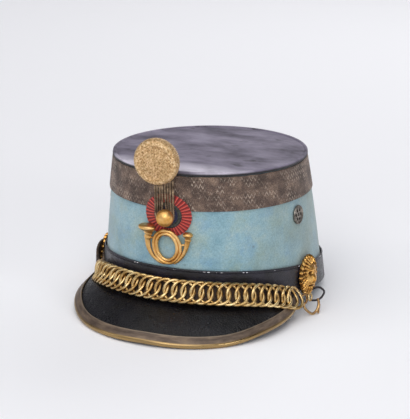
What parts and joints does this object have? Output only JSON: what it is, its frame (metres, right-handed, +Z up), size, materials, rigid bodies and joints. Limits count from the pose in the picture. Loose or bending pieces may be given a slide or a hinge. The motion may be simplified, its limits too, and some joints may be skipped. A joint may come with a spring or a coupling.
{
  "type": "shako hat",
  "caption": "Cloth shako with a leather crown, lace band and metal-edged leather peak, chin chain hooked to a lion-head boss, cockade, horn badge and pompom; it is worn on the head.",
  "frame": {"origin": "bottom centre of the bounding box, on the table that the hat stands on", "axes": "+Z up, -Y out of the hat's front, +X to the wearer's left; the hat tips back, resting on the back of its rim and the edge of its peak"},
  "size_m": [0.1854, 0.2518, 0.1459],
  "materials": {
    "sky_blue_cloth": "felted wool, matte and a little mottled",
    "crown_leather": "polished black leather, worn",
    "tarnished_lace": "woven metal lace, tarnished",
    "black_leather": "polished black leather",
    "worn_brass": "brass sheet, tarnished on its flat and bright on its nose",
    "brown_leather": "dull brown leather",
    "gilt_brass": "gilt, bright on its high points",
    "red_wool": "pleated wool",
    "tarnished_silver": "tarnished silver thread",
    "navy_wool": "wool",
    "tarnished_cord": "metal thread cord, tarnished",
    "gilt_bullion": "coiled gilt wire, sewn close",
    "vent_metal": "dull white metal"
  },
  "bodies": {
    "root": {"body_shell": "sky_blue_cloth", "crown_top": "crown_leather", "lace_band": "tarnished_lace", "leather_band": "black_leather", "peak": "black_leather", "peak_trim": "worn_brass", "chain_strap": "brown_leather", "chin_chain": "gilt_brass", "end_ring": "gilt_brass", "chain_hook": "gilt_brass", "cockade_red": "red_wool", "cockade_grey": "tarnished_silver", "cockade_blue": "navy_wool", "ganse_cord_1": "tarnished_cord", "ganse_cord_2": "tarnished_cord", "ganse_cord_3": "tarnished_cord", "ganse_cord_4": "tarnished_cord", "button": "gilt_brass", "pompom": "gilt_bullion", "pompom_stem": "gilt_bullion", "horn_badge": "gilt_brass", "boss_right": "gilt_brass", "boss_left": "gilt_brass", "ventilator_right": "vent_metal", "ventilator_left": "vent_metal"}
  },
  "joints": []
}
